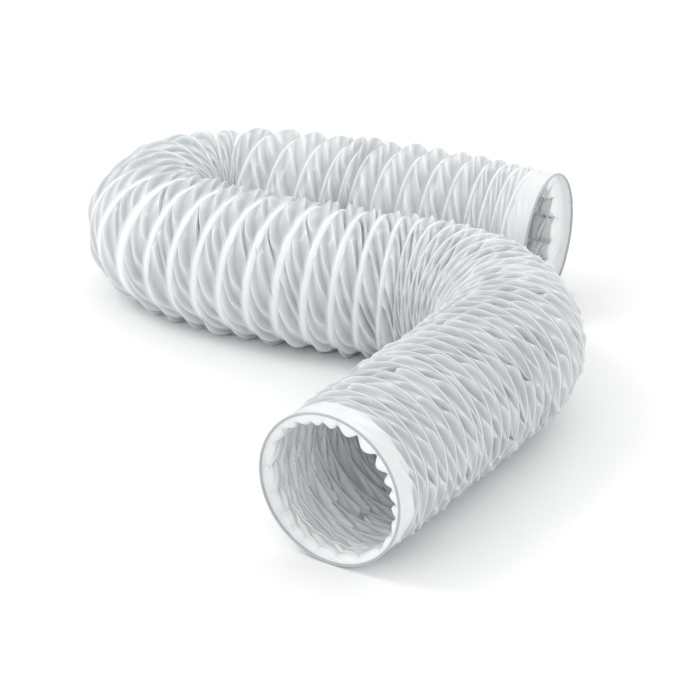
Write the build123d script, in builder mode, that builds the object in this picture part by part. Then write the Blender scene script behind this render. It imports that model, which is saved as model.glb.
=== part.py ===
"""Flexible air duct, 100 mm: two plies of film with a spring-wire helix held between them.

The duct lies on the floor in an S. It is cut square to its centre line into lengths, so that
its bends can open and its runs can stretch. Every length has the same three pieces: an inner
ply, a wire and an outer ply. The two plain ends are cuffs, each with one closed hem wire.
"""

import os
from math import cos, pi, sin

from build123d import *

os.makedirs("parts", exist_ok=True)

# The duct's section, from the inside out
BORE_R = 51.0        # takes a 100 mm spigot
PLY = 0.4            # stands in for film of 0.15 mm
WIRE_ROOM = 1.2      # space between the plies
WIRE_D = 1.1         # leaves the wire 0.05 mm free of each ply
WIRE_SIDES = 8       # flats that stand in for round wire, to keep its mesh small
WIRE_R = BORE_R + PLY + WIRE_ROOM / 2
OUTER_BORE_R = BORE_R + PLY + WIRE_ROOM
OUTER_R = OUTER_BORE_R + PLY

# The route over the floor, from the front mouth to the back mouth
FRONT_MOUTH = (119.0, -243.0)
FRONT_HEADING = 77.0  # degrees from +X, so that the back run ends up along +X
CUFF = 22.0
RIGHT_BEND_R = 93.0
RIGHT_BEND = 111.0
MIDDLE_R = 425.0
MIDDLE_SWEEP = -26.0
LEFT_BEND_R = 58.0
LEFT_BEND = -162.0
BACK_TURN_R = 170.0
BACK_TURN = -6.0

# Each length's legs are (length, 0) for a straight and (radius, turn) for an arc. A positive
# turn is to the left, and the wire's ends lie on the outer side of the bend.
LENGTHS = {
    "front_cuff": [(CUFF, 0)],
    "front_run_1": [(92.5, 0)],
    "front_run_2": [(92.5, 0)],
    "right_bend_1": [(RIGHT_BEND_R, RIGHT_BEND / 3)],
    "right_bend_2": [(RIGHT_BEND_R, RIGHT_BEND / 3)],
    "right_bend_3": [(RIGHT_BEND_R, RIGHT_BEND / 3)],
    "middle_run": [(MIDDLE_R, MIDDLE_SWEEP)],
    "left_bend_1": [(LEFT_BEND_R, LEFT_BEND / 3)],
    "left_bend_2": [(LEFT_BEND_R, LEFT_BEND / 3)],
    "left_bend_3": [(LEFT_BEND_R, LEFT_BEND / 3)],
    "back_run_1": [(114.5, 0)],
    "back_run_2": [(96.5, 0), (BACK_TURN_R, BACK_TURN)],
    "back_cuff": [(CUFF, 0)],
}
WIRE_TURNS = {
    "front_run_1": 8,
    "front_run_2": 8,
    "right_bend_1": 5,
    "right_bend_2": 5,
    "right_bend_3": 5,
    "middle_run": 10,
    "left_bend_1": 3,
    "left_bend_2": 3,
    "left_bend_3": 3,
    "back_run_1": 6,
    "back_run_2": 7,
}
SLIT = 0.3           # free space between one length and the next
WIRE_INSET = 1.0     # from the end of a length to the end of its wire
HEM_INSET = 1.2      # from the mouth to the middle of the hem wire
POINTS_PER_TURN = 16
TURNS_PER_SWEEP = 8  # a longer wire is swept as several, end to end


def centre_line(start, legs):
    """The centre line of one length, as a wire, from a start Location headed along its X axis."""
    with BuildLine() as line:
        at = start.position
        heading = Vector(1, 0, 0).rotate(Axis.Z, start.orientation.Z)
        for size, turn in legs:
            if turn:
                leg = JernArc(at, heading, size, turn)
            else:
                leg = Line(at, at + heading * size)
            at = leg @ 1
            heading = leg % 1
    return line.wires()[0]


def tube(route, inner_r, outer_r):
    """One ply: a ring swept along the centre line."""
    with BuildPart() as ply:
        with BuildSketch(Plane(origin=route @ 0, z_dir=route % 0)):
            Circle(outer_r)
            Circle(inner_r, mode=Mode.SUBTRACT)
        sweep(path=route)
    return ply


def helix_points(route, turns, bends_right):
    """Points along the wire of one length, starting and ending on the bend's outer side."""
    points = []
    free = route.length - 2 * WIRE_INSET
    for i in range(turns * POINTS_PER_TURN + 1):
        share = i / (turns * POINTS_PER_TURN)
        distance = WIRE_INSET + free * share
        centre = route.position_at(distance, PositionMode.LENGTH)
        ahead = route.tangent_at(distance, PositionMode.LENGTH)
        outward = Vector(ahead.Y, -ahead.X, 0)
        if bends_right:
            outward = -outward
        angle = 2 * pi * turns * share
        points.append(centre + outward * WIRE_R * cos(angle) + Vector(0, 0, WIRE_R * sin(angle)))
    return points


def helix_wire(points, turns):
    """The wire of one length, swept along its points a few turns at a time."""
    sweeps = -(-turns // TURNS_PER_SWEEP)
    step = len(points) // sweeps
    with BuildPart() as wire:
        for k in range(sweeps):
            with BuildLine() as path:
                Spline(*points[k * step : (k + 1) * step + 1])
            with BuildSketch(Plane(origin=path.line @ 0, z_dir=path.line % 0)):
                RegularPolygon(WIRE_D / 2, WIRE_SIDES)
            sweep(path=path.line)
    return wire


def hem_wire(route, distance):
    """The closed turn of wire in a cuff's hem."""
    centre = route.position_at(distance, PositionMode.LENGTH)
    with BuildPart(Plane(origin=centre, z_dir=route % 0)) as hem:
        Torus(WIRE_R, WIRE_D / 2)
    return hem


def save(part, label, colour):
    part.label = label
    part.color = Color(*colour)
    export_step(part, f"parts/{label}.step")


FILM = (0.90, 0.92, 0.95)
LINER = (0.78, 0.81, 0.86)
STEEL = (0.55, 0.56, 0.58)

place = Location((*FRONT_MOUTH, OUTER_R), (0, 0, FRONT_HEADING))
for name, legs in LENGTHS.items():
    route = centre_line(place, legs)

    inner_ply = tube(route, BORE_R, BORE_R + PLY)
    outer_ply = tube(route, OUTER_BORE_R, OUTER_R)
    save(inner_ply.part, f"{name}_inner_ply", LINER)
    save(outer_ply.part, f"{name}_outer_ply", FILM)

    if name == "front_cuff":
        wire = hem_wire(route, HEM_INSET)
    elif name == "back_cuff":
        wire = hem_wire(route, CUFF - HEM_INSET)
    else:
        turns = WIRE_TURNS[name]
        wire = helix_wire(helix_points(route, turns, bends_right=legs[-1][1] < 0), turns)
    save(wire.part, f"{name}_wire", STEEL)

    end = route @ 1
    ahead = route % 1
    heading = Vector(1, 0, 0).get_signed_angle(ahead, Vector(0, 0, 1))
    place = Location(end + ahead * SLIT, (0, 0, heading))
    print(f"{name}: from {route @ 0} to {end}, heading {heading:.2f}, wire {wire.part.volume:.0f} mm3")
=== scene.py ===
"""Looks of the flexible air duct: its film, spring wire and hems. Metres, in the CAD's frame."""
import math

import bpy
import numpy as np
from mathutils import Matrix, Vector


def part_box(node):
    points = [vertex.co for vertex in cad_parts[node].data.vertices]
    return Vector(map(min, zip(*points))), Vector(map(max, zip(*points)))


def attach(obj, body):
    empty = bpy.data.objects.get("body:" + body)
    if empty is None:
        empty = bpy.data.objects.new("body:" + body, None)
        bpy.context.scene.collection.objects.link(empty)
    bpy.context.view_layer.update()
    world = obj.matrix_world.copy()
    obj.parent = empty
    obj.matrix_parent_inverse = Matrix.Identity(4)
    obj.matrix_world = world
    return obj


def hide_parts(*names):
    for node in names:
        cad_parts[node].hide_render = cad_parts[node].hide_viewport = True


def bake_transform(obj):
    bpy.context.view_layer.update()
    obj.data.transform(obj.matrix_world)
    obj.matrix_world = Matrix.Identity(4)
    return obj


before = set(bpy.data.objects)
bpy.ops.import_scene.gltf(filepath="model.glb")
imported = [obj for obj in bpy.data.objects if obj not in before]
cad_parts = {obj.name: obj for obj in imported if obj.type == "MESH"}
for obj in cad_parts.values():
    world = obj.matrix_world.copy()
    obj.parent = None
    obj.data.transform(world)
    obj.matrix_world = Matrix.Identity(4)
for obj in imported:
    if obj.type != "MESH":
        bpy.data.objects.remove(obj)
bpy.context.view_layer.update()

# Camera. It looks down at about 25 degrees over the front mouth, towards the back run, from
# far enough away that both mouths keep their proportions.
camera_aim = Vector((0.062, -0.046, 0.053))
camera_heading = math.radians(110.0)
camera_pitch = math.radians(25.4)
camera_distance = 1.556
camera_lens = 113.1
camera_sensor = 36.0
camera_sight = 50.0
bpy.ops.object.camera_add()
camera = bpy.context.object
camera.name = "camera"
camera.data.lens = camera_lens
camera.data.sensor_width = camera_sensor
camera.data.clip_end = camera_sight
view_line = Vector((math.cos(camera_heading) * math.cos(camera_pitch),
                    math.sin(camera_heading) * math.cos(camera_pitch),
                    -math.sin(camera_pitch)))
camera.location = camera_aim - view_line * camera_distance
camera.rotation_mode = "QUATERNION"
camera.rotation_quaternion = view_line.to_track_quat("-Z", "Y")
bpy.context.scene.camera = camera

# Studio. A wide white floor, one large soft light from the upper left, weaker ones from the
# right and from behind, and an even surround. There is no tone curve, so white stays white.
floor_width = 12.0
floor_white = (0.96, 0.96, 0.96, 1.0)
surround_white = (1.0, 1.0, 1.0, 1.0)
surround_strength = 1.03
bpy.context.scene.view_settings.view_transform = "Standard"
bpy.ops.object.select_all(action="DESELECT")
bpy.ops.mesh.primitive_plane_add(size=floor_width)
floor = bpy.context.object
floor.name = "studio_floor"
floor_paint = bpy.data.materials.new("floor_white")
floor_paint.use_nodes = True
floor_shader = floor_paint.node_tree.nodes["Principled BSDF"]
floor_shader.inputs["Base Color"].default_value = floor_white
floor_shader.inputs["Roughness"].default_value = 0.9
floor_shader.inputs["Specular IOR Level"].default_value = 0.1
floor.data.materials.append(floor_paint)

surround = bpy.data.worlds.new("surround")
bpy.context.scene.world = surround
surround.use_nodes = True
surround_shader = surround.node_tree.nodes["Background"]
surround_shader.inputs["Color"].default_value = surround_white
surround_shader.inputs["Strength"].default_value = surround_strength


def soft_light(name, from_point, size, power):
    """A round area light that shines from a point towards the middle of the floor."""
    bpy.ops.object.light_add(type="AREA", location=from_point)
    light = bpy.context.object
    light.name = name
    light.data.shape = "DISK"
    light.data.size = size
    light.data.energy = power
    light.rotation_mode = "QUATERNION"
    light.rotation_quaternion = (-Vector(from_point)).to_track_quat("-Z", "Y")


soft_light("key_light", (-1.3, -0.4, 1.8), size=0.9, power=9.0)
soft_light("fill_light", (1.9, -1.2, 1.2), size=1.6, power=1.5)
soft_light("back_light", (0.4, 1.9, 1.4), size=1.2, power=4.0)

# Outer ply. White PVC film, wound on helically over the spring wire and welded to the inner ply
# along it. Between two turns of wire it bulges out and is gathered into slanting ridges with
# hollows between them. Over each mouth it ends in a plain round cuff.

# The duct's lie. Its centre line runs over the floor from the front mouth to the back mouth, in
# straight runs and arcs: (length, 0) is straight and (radius, turn in degrees) an arc. Each
# length of duct follows the CAD body of that name, with a slit between it and the next.
wire_radius = 0.052
front_mouth = Vector((0.119, -0.243))
front_heading = 77.0
slit = 0.0003
lengths = [
    ("front_cuff", [(0.022, 0)]),
    ("front_run_1", [(0.0925, 0)]),
    ("front_run_2", [(0.0925, 0)]),
    ("right_bend_1", [(0.093, 37)]),
    ("right_bend_2", [(0.093, 37)]),
    ("right_bend_3", [(0.093, 37)]),
    ("middle_run", [(0.425, -26)]),
    ("left_bend_1", [(0.058, -54)]),
    ("left_bend_2", [(0.058, -54)]),
    ("left_bend_3", [(0.058, -54)]),
    ("back_run_1", [(0.1145, 0)]),
    ("back_run_2", [(0.0965, 0), (0.170, -6)]),
    ("back_cuff", [(0.022, 0)]),
]
line_step = 0.001
line_height = sum(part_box("middle_run_outer_ply"), Vector()).z / 2
line_at = [0.0]
line_point = [tuple(front_mouth)]
line_heading = [math.radians(front_heading)]
length_ends = {}
for body, legs in lengths:
    starts_at = line_at[-1]
    for size, turn in legs + [(slit, 0)]:
        leg_length = abs(math.radians(turn)) * size if turn else size
        steps = max(1, round(leg_length / line_step))
        for _ in range(steps):
            turned = math.radians(turn) / steps
            moved = leg_length / steps
            x, y = line_point[-1]
            middle_heading = line_heading[-1] + turned / 2
            line_at.append(line_at[-1] + moved)
            line_point.append((x + moved * math.cos(middle_heading),
                               y + moved * math.sin(middle_heading)))
            line_heading.append(line_heading[-1] + turned)
    length_ends[body] = (starts_at, line_at[-1] - slit)
line_at, line_point, line_heading = map(np.array, (line_at, line_point, line_heading))
mouth_at = (0.0, line_at[-1] - slit)
film_from, film_to = length_ends["front_cuff"][1], length_ends["back_cuff"][0]


def across(at):
    """Centres of the duct's cross-sections at distances along its centre line, and their right."""
    x = np.interp(at, line_at, line_point[:, 0])
    y = np.interp(at, line_at, line_point[:, 1])
    centre = np.stack([x, y, np.full_like(at, line_height)], -1)
    heading = np.interp(at, line_at, line_heading)
    right = np.stack([np.sin(heading), -np.cos(heading), np.zeros_like(heading)], -1)
    return centre, right


def bend_tightness(at):
    """Turn per metre of the centre line, positive to the left, evened out over some 2 cm."""
    window = np.ones(21) / 21
    evened = np.convolve(np.gradient(line_heading, line_at), window, mode="same")
    return np.interp(at, line_at, evened)


# Where the wire's turns lie. The pitches are the spaces between its turns in each length of
# duct, one after another, and share out that length between them: the duct is pushed together
# in the front run and right bend, and pulled out further back.
turn_pitches = {
    "front_run_1": (11, 12, 12, 12, 13, 14, 6, 13),
    "front_run_2": (12, 11, 12, 12, 11, 12, 11, 12),
    "right_bend_1": (12, 11, 12, 12, 13),
    "right_bend_2": (12, 12, 11, 13, 12),
    "right_bend_3": (12, 13, 12, 12, 13),
    "middle_run": (15, 16, 18, 20, 21, 21, 20, 20, 20, 20),
    "left_bend_1": (18, 17, 18),
    "left_bend_2": (18, 18, 17),
    "left_bend_3": (18, 18, 20),
    "back_run_1": (25, 25, 22, 16, 7, 19),
    "back_run_2": (21, 20, 20, 19, 12, 12, 13),
}
spare_turns = 3                 # the film's strip is wound on this far past the wire's ends
map_turns = spare_turns + 2     # and the turns are mapped this far, to place the cuffs' film
cuff_pitch = 0.011
turn_at = []
for body, pitches in turn_pitches.items():
    start, end = length_ends[body]
    if not turn_at:
        turn_at = [start - cuff_pitch * k for k in range(map_turns, -1, -1)]
    shares = np.cumsum(pitches) / sum(pitches)
    turn_at += list(start + shares * (end + slit - start))
last_turn = len(turn_at) - 1 - map_turns
turn_at += [turn_at[-1] + cuff_pitch * k for k in range(1, map_turns + 1)]
# The wire's pitch changes gradually, over about half a turn
steps_per_turn, steps_evened = 40, 21
fine_turns = np.linspace(-map_turns, last_turn + map_turns,
                         steps_per_turn * (last_turn + 2 * map_turns) + 1)
fine_at = np.interp(fine_turns, np.arange(len(turn_at)) - map_turns, turn_at)
fine_at = np.pad(fine_at, steps_evened // 2, mode="reflect", reflect_type="odd")
fine_at = np.convolve(fine_at, np.ones(steps_evened) / steps_evened, mode="valid")


def wire_at(turn):
    """Distance along the centre line of the wire, a number of turns from the front cuff."""
    return np.interp(turn, fine_turns, fine_at)


# The pieces that plies and wire are made in. Each joins the middle of one length of duct to the
# middle of the next. Given are the two bodies, the turns of wire between which the piece lies,
# and a pair of turns for its bend.
spans = [
    ("front_cuff", "front_run_1", (-spare_turns, 3.5), (0.0, 3.5)),
    ("front_run_1", "front_run_2", (3.5, 11.5), (4.5, 11.5)),
    ("front_run_2", "right_bend_1", (11.5, 18.0), (12.5, 18.0)),
    ("right_bend_1", "right_bend_2", (18.0, 23.0), (19.0, 23.0)),
    ("right_bend_2", "right_bend_3", (23.0, 28.0), (24.0, 28.0)),
    ("right_bend_3", "middle_run", (28.0, 35.5), (29.0, 34.0)),
    ("middle_run", "left_bend_1", (35.5, 42.0), (38.0, 42.0)),
    ("left_bend_1", "left_bend_2", (42.0, 45.0), (43.0, 45.0)),
    ("left_bend_2", "left_bend_3", (45.0, 48.0), (46.0, 48.0)),
    ("left_bend_3", "back_run_1", (48.0, 52.5), (49.0, 52.5)),
    ("back_run_1", "back_run_2", (52.5, 59.0), (53.5, 59.0)),
    ("back_run_2", "back_cuff", (59.0, last_turn + spare_turns), (60.0, float(last_turn))),
]


def bend_with(piece):
    """Bakes the piece's transform into its points. It bends nothing."""
    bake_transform(piece)


# The folds. Both plies share them. A fold cell is one ridge and one hollow of the gathered
# strip, and a column is one line of points across the strip, from one turn of wire to the next.
cells_per_turn = 18
columns_per_cell = 8
columns_per_turn = cells_per_turn * columns_per_cell
weld_rows = (0.0, 0.3, 0.62, 1.0)
open_rows = 7
rows = 2 * len(weld_rows) + open_rows
pulled_from, pulled_to = 28.0, 33.0     # turns between which the pushed-together duct is pulled out
full_pitch, least_fold = 0.011, 0.25    # turns closer than this have smaller folds, down to a share
inside_room, least_inside = 1.25, 0.10      # share of the folds left on the inside of a bend
outside_loss, least_outside = 0.5, 0.35     # and how soon they are drawn flat on its outside
widest_weld = 0.3                       # of the space between two turns
valley_low, valley_rise = 0.86, 0.72    # a hollow's deepest line crosses its cell from low to high
bulge_roundness, hollow_roundness = 0.75, 0.55
ripple_height, ripple_narrowness = 0.3, 5
ply_gap = 0.00015
wire_cover, cover_half = 0.00062, 0.0008    # the film's rise over the wire, and its half width
floor_clearance, inner_lift = 0.0003, 0.0003
weld_past_film = 0.004                  # the last turns' welds reach into the cuffs
weld_slope, weld_fold = 2.5, 0.55       # painted tones: 1 is a ridge's painted highlight and 0 a hollow's painted shade
# The welds' tone, painted white out from the wire as a painted highlight, and the cuffs' flat tones
# of painted shade and painted highlight
seam_full, seam_fade = 1.25, 0.8
cuff_fold, cuff_seam = 0.8, 0.5

# How the folds look at places along the duct. Hollow shape under 1 leaves thin ridges, crest
# is how smooth the bulges' tops are, weld is the welds' half width and seam that of the part
# painted white as a highlight, and tone over 1 deepens the painted shade between the ridges.
looks = [
    # place, bulge mm, hollow mm, hollow shape, crest, weld mm, seam highlight mm, hollow shade
    (0.0, 0.0, 0.0, 0.7, 0.0, 1.2, 0.3, 2.6),
    (0.010, 0.2, 0.8, 0.7, 0.0, 1.2, 0.3, 2.6),
    (film_from, 0.8, 2.0, 0.7, 0.0, 1.2, 0.3, 2.6),
    (film_from + 0.02, 2.6, 3.8, 0.7, 0.0, 1.2, 0.35, 2.6),
    (length_ends["front_run_2"][1], 2.8, 3.9, 0.7, 0.0, 1.2, 0.35, 2.6),
    (length_ends["right_bend_2"][0], 2.8, 3.9, 0.7, 0.0, 1.2, 0.4, 0.9),
    (length_ends["right_bend_3"][1], 3.6, 4.4, 0.8, 0.1, 1.6, 1.1, 1.0),
    (length_ends["middle_run"][0] + 0.06, 6.3, 4.9, 0.95, 0.45, 2.2, 2.6, 1.2),
    (length_ends["left_bend_1"][0], 6.3, 4.9, 0.95, 0.45, 2.2, 2.6, 1.3),
    (length_ends["left_bend_2"][0], 4.8, 4.6, 1.1, 0.6, 1.8, 1.5, 1.0),
    (length_ends["left_bend_3"][1], 5.6, 3.8, 1.3, 0.75, 1.6, 1.3, 0.7),
    (length_ends["back_run_1"][0] + 0.03, 7.8, 3.0, 1.8, 0.85, 1.5, 1.2, 0.45),
    (film_to - 0.05, 7.4, 3.0, 1.8, 0.85, 1.5, 1.2, 0.45),
    (film_to, 1.2, 1.6, 1.0, 0.3, 1.5, 0.8, 0.45),
    (mouth_at[1], 0.0, 0.4, 1.0, 0.0, 1.2, 0.5, 0.45),
]
look_at, bulge_mm, hollow_mm, hollow_shape, crest_smooth, weld_mm, seam_highlight_mm, hollow_shade_power = zip(*looks)

# No two fold cells are alike
cell_count = (last_turn + 2 * spare_turns + 2) * cells_per_turn
dice = np.random.default_rng(11)
bulge_mix = dice.normal(0, 0.18, cell_count)
hollow_mix = dice.normal(0, 0.22, cell_count)
ridge_drift = dice.normal(0, 0.28, cell_count)
small_ridge = np.clip(dice.normal(0.1, 0.35, cell_count), -0.5, 0.9)
valley_mix = dice.normal(0, 0.10, cell_count)


def look(values, at):
    """One of the looks, at distances along the duct."""
    return np.interp(at, look_at, values)


def between_cells(values, cell, share):
    """Values of the fold cells, shared out evenly from one cell to the next."""
    return values[cell] * (1 - share) + values[(cell + 1) % cell_count] * share


def ridge_slant(columns):
    """Columns that a ridge runs back from one turn of wire to the next: one fold cell where the
    duct is pushed together, two where it is pulled out."""
    pulled = (columns / columns_per_turn - pulled_from) / (pulled_to - pulled_from)
    return columns_per_cell * (1 + np.clip(pulled, 0, 1))


def film_points(columns, ply, slack):
    """Points of one ply, columns of the strip by rows from one turn of wire to the next. ply is
    +1 for the outer and -1 for the inner, and slack hangs a ply's spare film inwards. Also gives
    each point's distance along the duct, its turn, its place across the strip, its painted shade
    tone from a ridge (1) to a hollow (0), and its painted highlight tone, most on a weld."""
    # Rows lie close together on the two welds and evenly on the open film
    column = columns[:, None].astype(float)
    pitch = wire_at(column / columns_per_turn + 1) - wire_at(column / columns_per_turn)
    weld = look(weld_mm, wire_at(column / columns_per_turn)) / 1000
    weld = np.minimum(weld, widest_weld * pitch)
    on_weld = np.array(weld_rows)[None, :] * weld
    open_share = np.arange(1, open_rows + 1)[None, :] / (open_rows + 1)
    off_weld = weld + (pitch - 2 * weld) * open_share
    up = np.concatenate([on_weld, off_weld, pitch - on_weld[:, ::-1]], axis=1) / pitch
    cell = (column / columns_per_cell + spare_turns * cells_per_turn) % cell_count
    whole = np.floor(cell).astype(int)
    share = cell - whole
    # Columns slant with the ridges, and each ridge drifts a little on its way
    drift = between_cells(ridge_drift, whole, share)
    swing = np.sin(math.pi * up)
    turn = (column - ridge_slant(column) * up + drift * columns_per_cell * swing) / columns_per_turn
    low_at, high_at = wire_at(turn), wire_at(turn + 1)
    at = low_at + (high_at - low_at) * up
    angle = 2 * math.pi * turn
    # The folds have less room inside a bend and where two turns lie close together
    open_out = 1 + bend_tightness(at) * wire_radius * np.cos(angle)
    inside = np.clip(inside_room * open_out, least_inside, 1.0)
    outside = np.clip(1 + outside_loss - outside_loss * open_out, least_outside, 1.0)
    room = np.where(open_out < 1, inside, outside)
    narrow = np.clip((high_at - low_at) / full_pitch, least_fold, 1.0)
    bulge = look(bulge_mm, at) / 1000 * room * narrow * (1 + between_cells(bulge_mix, whole, share))
    hollow = look(hollow_mm, at) / 1000 * room * narrow * (1 + hollow_mix[whole])
    # A hollow falls from both its ridges to a valley, with a smaller ridge on the way
    over = np.clip((up * pitch - weld) / (pitch - 2 * weld), 0, 1)
    arch = np.sin(math.pi * over)
    valley = np.clip(valley_low - valley_rise * over + valley_mix[whole], 0.1, 0.9)
    down = np.minimum(share / valley, (1 - share) / (1 - valley))
    fall = down ** look(hollow_shape, at)
    from_ripple = np.abs(share - 0.5 * (valley + 0.5))
    ripple = small_ridge[whole] * np.clip(1 - from_ripple * ripple_narrowness, 0, 1)
    crest = 1 - look(crest_smooth, at) * arch ** 2
    depth = hollow * arch ** hollow_roundness * (fall - ripple_height * ripple) * crest
    # The painted tones: painted shade in the hollows, a painted highlight on the ridges and welds
    from_wire = np.minimum(up, 1 - up) * pitch
    in_film = (at > film_from - weld_past_film) & (at < film_to + weld_past_film)
    clear = np.minimum(1, weld_slope * arch)
    fold = np.clip((1 - down) * clear + weld_fold * (1 - clear), 0, 1)
    fold = np.where(in_film, fold ** look(hollow_shade_power, at), cuff_fold)
    seam_highlight = np.clip(seam_full - from_wire / (look(seam_highlight_mm, at) / 1000) * seam_fade, 0, 1)
    seam_highlight = np.where(in_film, seam_highlight, cuff_seam)
    # The ply lies on its own side of the wire
    cover = wire_cover * np.exp(-((from_wire / cover_half) ** 2))
    radius = wire_radius + bulge * arch ** bulge_roundness - depth
    radius = radius + ply * (ply_gap + cover * in_film)
    if slack:
        radius, fold, seam_highlight = slack(at, angle, radius, fold, seam_highlight)
    at = np.clip(at, *mouth_at)
    centre, right = across(at)
    point = centre + right * (radius * np.cos(angle))[..., None]
    point[..., 2] += radius * np.sin(angle)
    lowest = floor_clearance + (inner_lift if ply < 0 else 0)
    point[..., 2] = np.maximum(point[..., 2], lowest)
    return point, at, turn, up, fold, seam_highlight


def film_mesh(name, turns, ply, slack=None):
    """One piece of one ply, with a UV map in metres round the strip and shares across it, and
    its painted shade and painted highlight tones as attributes. Also gives each point's distance
    along the duct."""
    first, last = (round(turn * columns_per_turn) for turn in turns)
    columns = np.arange(first, last + 1)
    point, at, turn, up, fold, seam_highlight = film_points(columns, ply, slack)
    count = len(columns)
    number = np.arange(count * rows).reshape(count, rows)
    # Where the slant is even, a turn's last row meets the next turn's first row point by point
    slants = ridge_slant(columns)
    if slants[0] == slants[-1]:
        onward = columns_per_turn - round(slants[0])
        number[: count - onward, rows - 1] = number[onward:, 0]
    corner = np.stack([number[:-1, :-1], number[1:, :-1], number[1:, 1:], number[:-1, 1:]], -1)
    corner = corner.reshape(-1, 4)
    wrap = np.stack([turn * 2 * math.pi * wire_radius, up], -1)
    wrap = np.stack([wrap[:-1, :-1], wrap[1:, :-1], wrap[1:, 1:], wrap[:-1, 1:]], -2)
    wrap = wrap.reshape(-1, 4, 2)
    # The strip is cut off at the mouth
    flat_at = at.reshape(-1)
    past_mouth = np.ptp(flat_at[corner], axis=1) < 1e-7
    corner, wrap = corner[~past_mouth], wrap[~past_mouth]
    used, corner_used = np.unique(corner, return_inverse=True)
    face = corner_used.reshape(-1, 4)[:, ::-1]
    mesh = bpy.data.meshes.new(name)
    mesh.from_pydata(point.reshape(-1, 3)[used].tolist(), [], face.tolist())
    layer = mesh.uv_layers.new(name="strip")
    layer.data.foreach_set("uv", wrap[:, ::-1].reshape(-1).astype(np.float32))
    for kind, tone in (("fold", fold), ("seam_highlight", seam_highlight)):
        attribute = mesh.attributes.new(kind, "FLOAT", "POINT")
        attribute.data.foreach_set("value", tone.reshape(-1)[used].astype(np.float32))
    mesh.update()
    film = bpy.data.objects.new(name, mesh)
    bpy.context.scene.collection.objects.link(film)
    return film, flat_at[used]


def film_material(name, weld, face, recess, roughness, seed):
    """PVC film: milky and a little see-through, with painted shade that greys its hollows and a
    painted highlight that whitens its ridges and welds, with an uneven satin gloss, soft creases
    and a fine grain."""
    paint = bpy.data.materials.new(name)
    paint.use_nodes = True
    nodes, links = paint.node_tree.nodes, paint.node_tree.links
    shader = nodes["Principled BSDF"]

    def add_node(kind, sockets=(), **settings):
        node = nodes.new(kind)
        for setting, value in settings.items():
            setattr(node, setting, value)
        for socket, value in sockets:
            node.inputs[socket].default_value = value
        return node

    def noise(scale, detail, *more):
        made = add_node("ShaderNodeTexNoise", [("Scale", scale), ("Detail", detail), *more])
        links.new(place.outputs["Object"], made.inputs["Vector"])
        return made

    def spread(source, *sockets):
        made = add_node("ShaderNodeMapRange", sockets)
        links.new(source, made.inputs["Value"])
        return made.outputs["Result"]

    place = add_node("ShaderNodeTexCoord")
    fold = add_node("ShaderNodeAttribute", attribute_name="fold").outputs["Fac"]
    seam_highlight = add_node("ShaderNodeAttribute", attribute_name="seam_highlight").outputs["Fac"]
    mottle = noise(28.0 + seed, 3.0).outputs["Fac"]

    # Colour: painted shade, from the recess colour in the hollows to the face colour up the folds,
    # made uneven, and a painted highlight, white on the ridges' tops and on the welds
    height = spread(fold, ("To Min", -0.12), ("To Max", 0.55))
    uneven = spread(mottle, ("From Min", 0.3), ("From Max", 0.7), ("To Max", 0.3))
    lighter = add_node("ShaderNodeMath", operation="ADD", use_clamp=True)
    links.new(height, lighter.inputs[0])
    links.new(uneven, lighter.inputs[1])
    painted_shade_tone = add_node("ShaderNodeMixRGB", [("Color1", recess), ("Color2", face)])
    links.new(lighter.outputs["Value"], painted_shade_tone.inputs["Fac"])
    # The ridges' tops and the welds are painted white: a painted highlight
    ridge = spread(fold, ("From Min", 0.85), ("To Max", 0.6))
    white = add_node("ShaderNodeMath", operation="MAXIMUM")
    links.new(ridge, white.inputs[0])
    links.new(seam_highlight, white.inputs[1])
    tone = add_node("ShaderNodeMixRGB", [("Color2", weld)])
    links.new(white.outputs["Value"], tone.inputs["Fac"])
    links.new(painted_shade_tone.outputs["Color"], tone.inputs["Color1"])
    links.new(tone.outputs["Color"], shader.inputs["Base Color"])

    # Gloss, creases and grain
    gloss = spread(mottle, ("To Min", roughness - 0.06), ("To Max", roughness + 0.08))
    links.new(gloss, shader.inputs["Roughness"])
    grain_bump = add_node("ShaderNodeBump", [("Strength", 0.12), ("Distance", 0.00004)])
    links.new(noise(900.0, 2.0).outputs["Fac"], grain_bump.inputs["Height"])
    crease_bump = add_node("ShaderNodeBump", [("Strength", 0.35), ("Distance", 0.0006)])
    links.new(noise(120.0, 4.0, ("Roughness", 0.6)).outputs["Fac"], crease_bump.inputs["Height"])
    links.new(grain_bump.outputs["Normal"], crease_bump.inputs["Normal"])
    links.new(crease_bump.outputs["Normal"], shader.inputs["Normal"])
    shader.inputs["IOR"].default_value = 1.53
    shader.inputs["Coat Weight"].default_value = 0.2
    shader.inputs["Coat Roughness"].default_value = 0.18
    shader.inputs["Subsurface Weight"].default_value = 0.08
    shader.inputs["Subsurface Radius"].default_value = (0.004, 0.004, 0.005)
    return paint


film_thickness = 0.00015
crease_angle = math.radians(38)


def finish_film(piece, film, side):
    """Gives a piece its material, keeps its sharp creases, and thickens it to one side."""
    piece.data.materials.append(film)
    bpy.ops.object.select_all(action="DESELECT")
    bpy.context.view_layer.objects.active = piece
    piece.select_set(True)
    bpy.ops.object.shade_smooth_by_angle(angle=crease_angle, keep_sharp_edges=True)
    thicken = piece.modifiers.new("thickness", "SOLIDIFY")
    thicken.thickness = film_thickness
    thicken.offset = side


# Outer film colours: the weld colour is a painted highlight, the recess colour a painted shade for
# the hollows, and the face colour the film's own
outer_film = film_material("outer_film", weld=(0.90, 0.91, 0.912, 1.0),
                           face=(0.77, 0.795, 0.80, 1.0), recess=(0.42, 0.455, 0.475, 1.0),
                           roughness=0.31, seed=0.0)
for body_a, body_b, turns, bend_turns in spans:
    piece, at = film_mesh(f"outer_film_{body_a}", turns, ply=1)
    finish_film(piece, outer_film, side=1.0)
    bend_with(piece)
    covered = [f"{body_a}_outer_ply"] + ([f"{body_b}_outer_ply"] if body_b == "back_cuff" else [])
    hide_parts(*covered)
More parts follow.
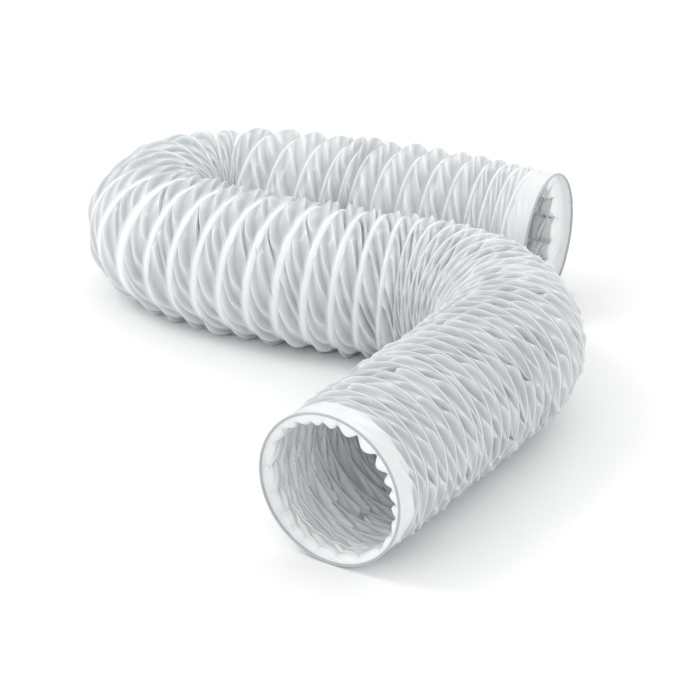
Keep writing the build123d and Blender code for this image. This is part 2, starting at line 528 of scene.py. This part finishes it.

# Inner ply. The same film, wound first and under the wire, seen as the duct's pale grey inside.
# Just behind each mouth it has slack, which hangs inwards in a ring of lobes.
# Its colours are painted nearly white: painted light, standing in for the light that shines in
# through the film
inner_film = film_material("inner_film", weld=(0.94, 0.95, 0.955, 1.0),
                           face=(0.93, 0.945, 0.955, 1.0), recess=(0.90, 0.92, 0.935, 1.0),
                           roughness=0.46, seed=3.0)
slack_ends, slack_fades = 0.034, 0.022      # behind the mouth, and over how much of that
lobe_sway, lobe_roundness = 1.1, 0.6
lobe_root = 0.40                            # how far the film between the lobes comes in, too
lobe_drop = (0.0030, 0.0060, 0.0155)        # opposite the side that hangs furthest, beside, on it
# how white the lobes' crowns are painted: a painted highlight
lobe_white = 0.7


def slack_lobes(at, angle, radius, fold, seam_highlight):
    """Hangs the inner ply's slack inwards. Each mouth has its distance behind it, measured from
    where the slack starts, how soon it hangs in, on which side furthest, and its lobes. It also
    paints each lobe's crown white, a painted highlight, and leaves the film between lobes greyer, a
    painted shade."""
    mouths = [(at - mouth_at[0] - 0.0015, 0.008, math.radians(55), 22),
              (mouth_at[1] - at - 0.008, 0.005, math.radians(170), 18)]
    for behind, steep, lean, lobes in mouths:
        slack = np.clip(behind / steep, 0, 1) * np.clip((slack_ends - behind) / slack_fades, 0, 1)
        slack = slack * slack * (3 - 2 * slack)
        lobe = np.abs(np.sin(lobes / 2 * angle + lobe_sway * np.sin(3 * angle))) ** lobe_roundness
        most = np.interp(np.cos(angle - lean), (-1, 0.1, 1), lobe_drop)
        radius = radius - slack * most * (lobe_root + (1 - lobe_root) * lobe)
        fold = np.maximum(fold, slack * lobe)
        seam_highlight = np.maximum(seam_highlight * (1 - slack), lobe_white * slack * lobe)
    return radius, fold, seam_highlight


for body_a, body_b, turns, bend_turns in spans:
    piece, at = film_mesh(f"inner_film_{body_a}", turns, ply=-1, slack=slack_lobes)
    finish_film(piece, inner_film, side=-1.0)
    bend_with(piece)
    covered = [f"{body_a}_inner_ply"] + ([f"{body_b}_inner_ply"] if body_b == "back_cuff" else [])
    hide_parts(*covered)

# Spring wire. Hard-drawn steel, wound in one helix from cuff to cuff and held between the plies.
# It is all but hidden, and gives the duct its turns.
wire_half = 0.00048
wire_sides = 8
wire_steps = 72
spring_steel = bpy.data.materials.new("spring_steel")
spring_steel.use_nodes = True
steel_nodes, steel_links = spring_steel.node_tree.nodes, spring_steel.node_tree.links
steel_shader = steel_nodes["Principled BSDF"]
steel_shader.inputs["Metallic"].default_value = 1.0
steel_shader.inputs["Base Color"].default_value = (0.55, 0.56, 0.58, 1.0)
steel_place = steel_nodes.new("ShaderNodeTexCoord")
draw_marks = steel_nodes.new("ShaderNodeTexNoise")
draw_marks.inputs["Scale"].default_value = 400.0
steel_links.new(steel_place.outputs["Object"], draw_marks.inputs["Vector"])
steel_gloss = steel_nodes.new("ShaderNodeMapRange")
steel_gloss.inputs["To Min"].default_value = 0.28
steel_gloss.inputs["To Max"].default_value = 0.42
steel_links.new(draw_marks.outputs["Fac"], steel_gloss.inputs["Value"])
steel_links.new(steel_gloss.outputs["Result"], steel_shader.inputs["Roughness"])
for body_a, body_b, turns, bend_turns in spans:
    first = max(turns[0], 0.0)
    last = min(turns[1], float(last_turn))
    turn = np.linspace(first, last, round((last - first) * wire_steps) + 1)
    at = wire_at(turn)
    centre, right = across(at)
    outward = right * np.cos(2 * math.pi * turn)[:, None]
    outward[:, 2] = np.sin(2 * math.pi * turn)
    line = centre + outward * wire_radius
    ahead = np.gradient(line, axis=0)
    ahead /= np.linalg.norm(ahead, axis=1, keepdims=True)
    beside = np.cross(ahead, outward)
    around = (np.arange(wire_sides) * 2 * math.pi / wire_sides)[None, :, None]
    ring = line[:, None] + wire_half * (np.cos(around) * outward[:, None]
                                        + np.sin(around) * beside[:, None])
    number = np.arange(len(turn) * wire_sides).reshape(len(turn), wire_sides)
    beyond = np.roll(number, -1, axis=1)
    side = np.stack([number[:-1], beyond[:-1], beyond[1:], number[1:]], -1).reshape(-1, 4)
    ends = [number[0, ::-1].tolist(), number[-1].tolist()]
    mesh = bpy.data.meshes.new(f"wire_{body_a}")
    mesh.from_pydata(ring.reshape(-1, 3).tolist(), [], side.tolist() + ends)
    mesh.shade_smooth()
    mesh.materials.append(spring_steel)
    piece = bpy.data.objects.new(f"wire_{body_a}", mesh)
    bpy.context.scene.collection.objects.link(piece)
    bend_with(piece)
    covered = [f"{body_b}_wire"] if body_b != "back_cuff" else []
    if covered:
        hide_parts(*covered)

# Hems. At each mouth the film is turned back over the wire's last, closed turn and welded down,
# which leaves a thin round rim.
hem_half = 0.0009
hem_inset = 0.0007
hem_radius = wire_radius - 0.0001
hems = [("front_cuff", mouth_at[0] + hem_inset), ("back_cuff", mouth_at[1] - hem_inset)]
for body, hem_at in hems:
    centre, right = across(np.array([hem_at]))
    axis = Vector(np.cross(np.array([0, 0, 1.0]), right[0]))
    bpy.ops.object.select_all(action="DESELECT")
    bpy.ops.mesh.primitive_torus_add(location=centre[0],
                                     rotation=axis.to_track_quat("Z", "Y").to_euler(),
                                     major_radius=hem_radius, minor_radius=hem_half,
                                     major_segments=160, minor_segments=14)
    hem = bpy.context.object
    hem.name = f"hem_{body}"
    bpy.ops.object.transform_apply(location=True, rotation=True, scale=True)
    bpy.ops.object.shade_smooth()
    # The hem has none of the tone attributes, so it takes the film's recess colour all round: a
    # painted shade along the rim
    hem.data.materials.append(outer_film)
    hem.data.uv_layers[0].name = "strip"
    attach(hem, body)
    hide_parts(f"{body}_wire")
